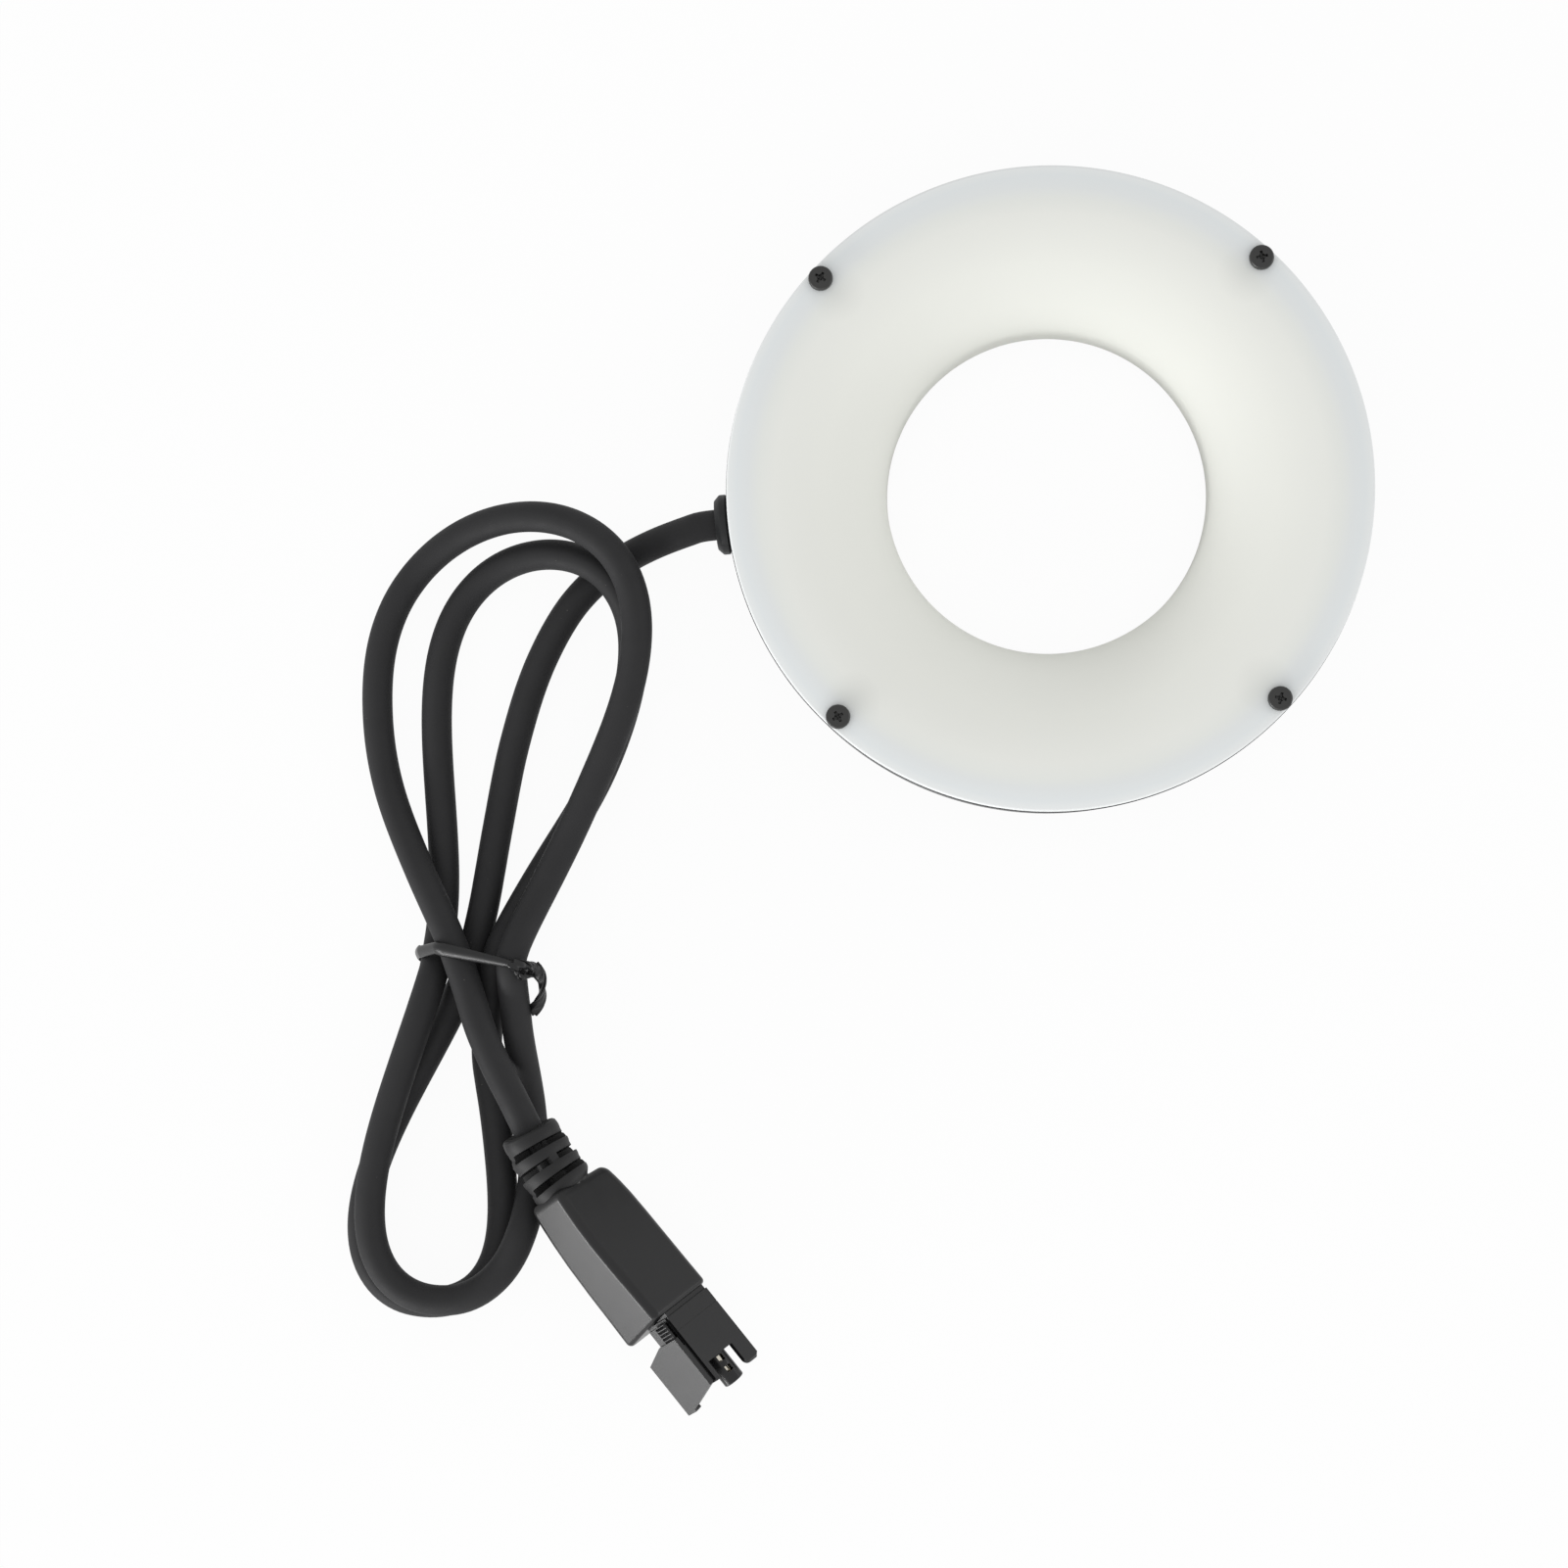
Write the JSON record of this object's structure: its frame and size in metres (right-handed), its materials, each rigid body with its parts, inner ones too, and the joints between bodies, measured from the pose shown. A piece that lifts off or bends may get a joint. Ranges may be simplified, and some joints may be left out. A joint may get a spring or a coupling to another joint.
{
  "type": "microscope ring light",
  "caption": "Ring-shaped light that fits round a microscope objective, with an opal diffuser, a side gland, a tied cord and a latched plug.",
  "frame": {"origin": "centre of the ring on the plane of its back face, which is also the surface that the part lies on", "axes": "+Z along the ring's axis, out of the diffuser's face; +Y and +X across it, with the cord and the plug on the -X side"},
  "size_m": [0.1931, 0.2333, 0.0217],
  "materials": {
    "anodised_black": "satin black anodised",
    "opal": "translucent satin white",
    "black_steel": "black oxide",
    "solder_mask": "white solder mask",
    "grey_pad": "matt",
    "phosphor": "clear over yellow",
    "resistor_black": "matt",
    "steel": "plain",
    "nylon": "natural",
    "red_wire": "satin",
    "black_wire": "satin",
    "gland_black": "satin",
    "cord_jacket": "matt",
    "tie_plastic": "satin",
    "plug_plastic": "satin",
    "nickel": "nickel plated"
  },
  "bodies": {
    "ring_light": {"housing": "anodised_black", "diffuser": "opal", "diffuser_screw_1": "black_steel", "diffuser_screw_2": "black_steel", "diffuser_screw_3": "black_steel", "diffuser_screw_4": "black_steel", "thermal_pad": "grey_pad", "led_board": "solder_mask", "led_01": "phosphor", "led_02": "phosphor", "led_03": "phosphor", "led_04": "phosphor", "led_05": "phosphor", "led_06": "phosphor", "led_07": "phosphor", "led_08": "phosphor", "led_09": "phosphor", "led_10": "phosphor", "led_11": "phosphor", "led_12": "phosphor", "led_13": "phosphor", "led_14": "phosphor", "led_15": "phosphor", "led_16": "phosphor", "led_17": "phosphor", "led_18": "phosphor", "led_19": "phosphor", "led_20": "phosphor", "led_21": "phosphor", "led_22": "phosphor", "led_23": "phosphor", "led_24": "phosphor", "board_resistor_1": "resistor_black", "board_resistor_2": "resistor_black", "board_resistor_3": "resistor_black", "wire_terminal": "nylon", "board_screw_1": "steel", "board_screw_2": "steel", "board_screw_3": "steel", "board_screw_4": "steel", "cable_gland": "gland_black", "gland_nut": "steel", "lead_red": "red_wire", "lead_black": "black_wire", "cord_lead": "cord_jacket", "cord_hank": "cord_jacket", "cord_tail": "cord_jacket", "twist_tie": "tie_plastic", "plug_overmould": "plug_plastic", "connector_housing": "plug_plastic", "contact_sleeve": "nickel", "contact_pin": "nickel"},
    "lever": {"latch_lever": "plug_plastic"}
  },
  "joints": [
    {"name": "latch_pivot", "type": "hinge", "parent": "ring_light", "child": "lever", "pos_m": [-0.06974, -0.15984, 0.0142], "axis": [-0.6135, -0.4317, -0.6612], "range_deg": [0, 7], "stiffness_Nm_per_rad": 0.06, "springref_deg": -2.86}
  ]
}
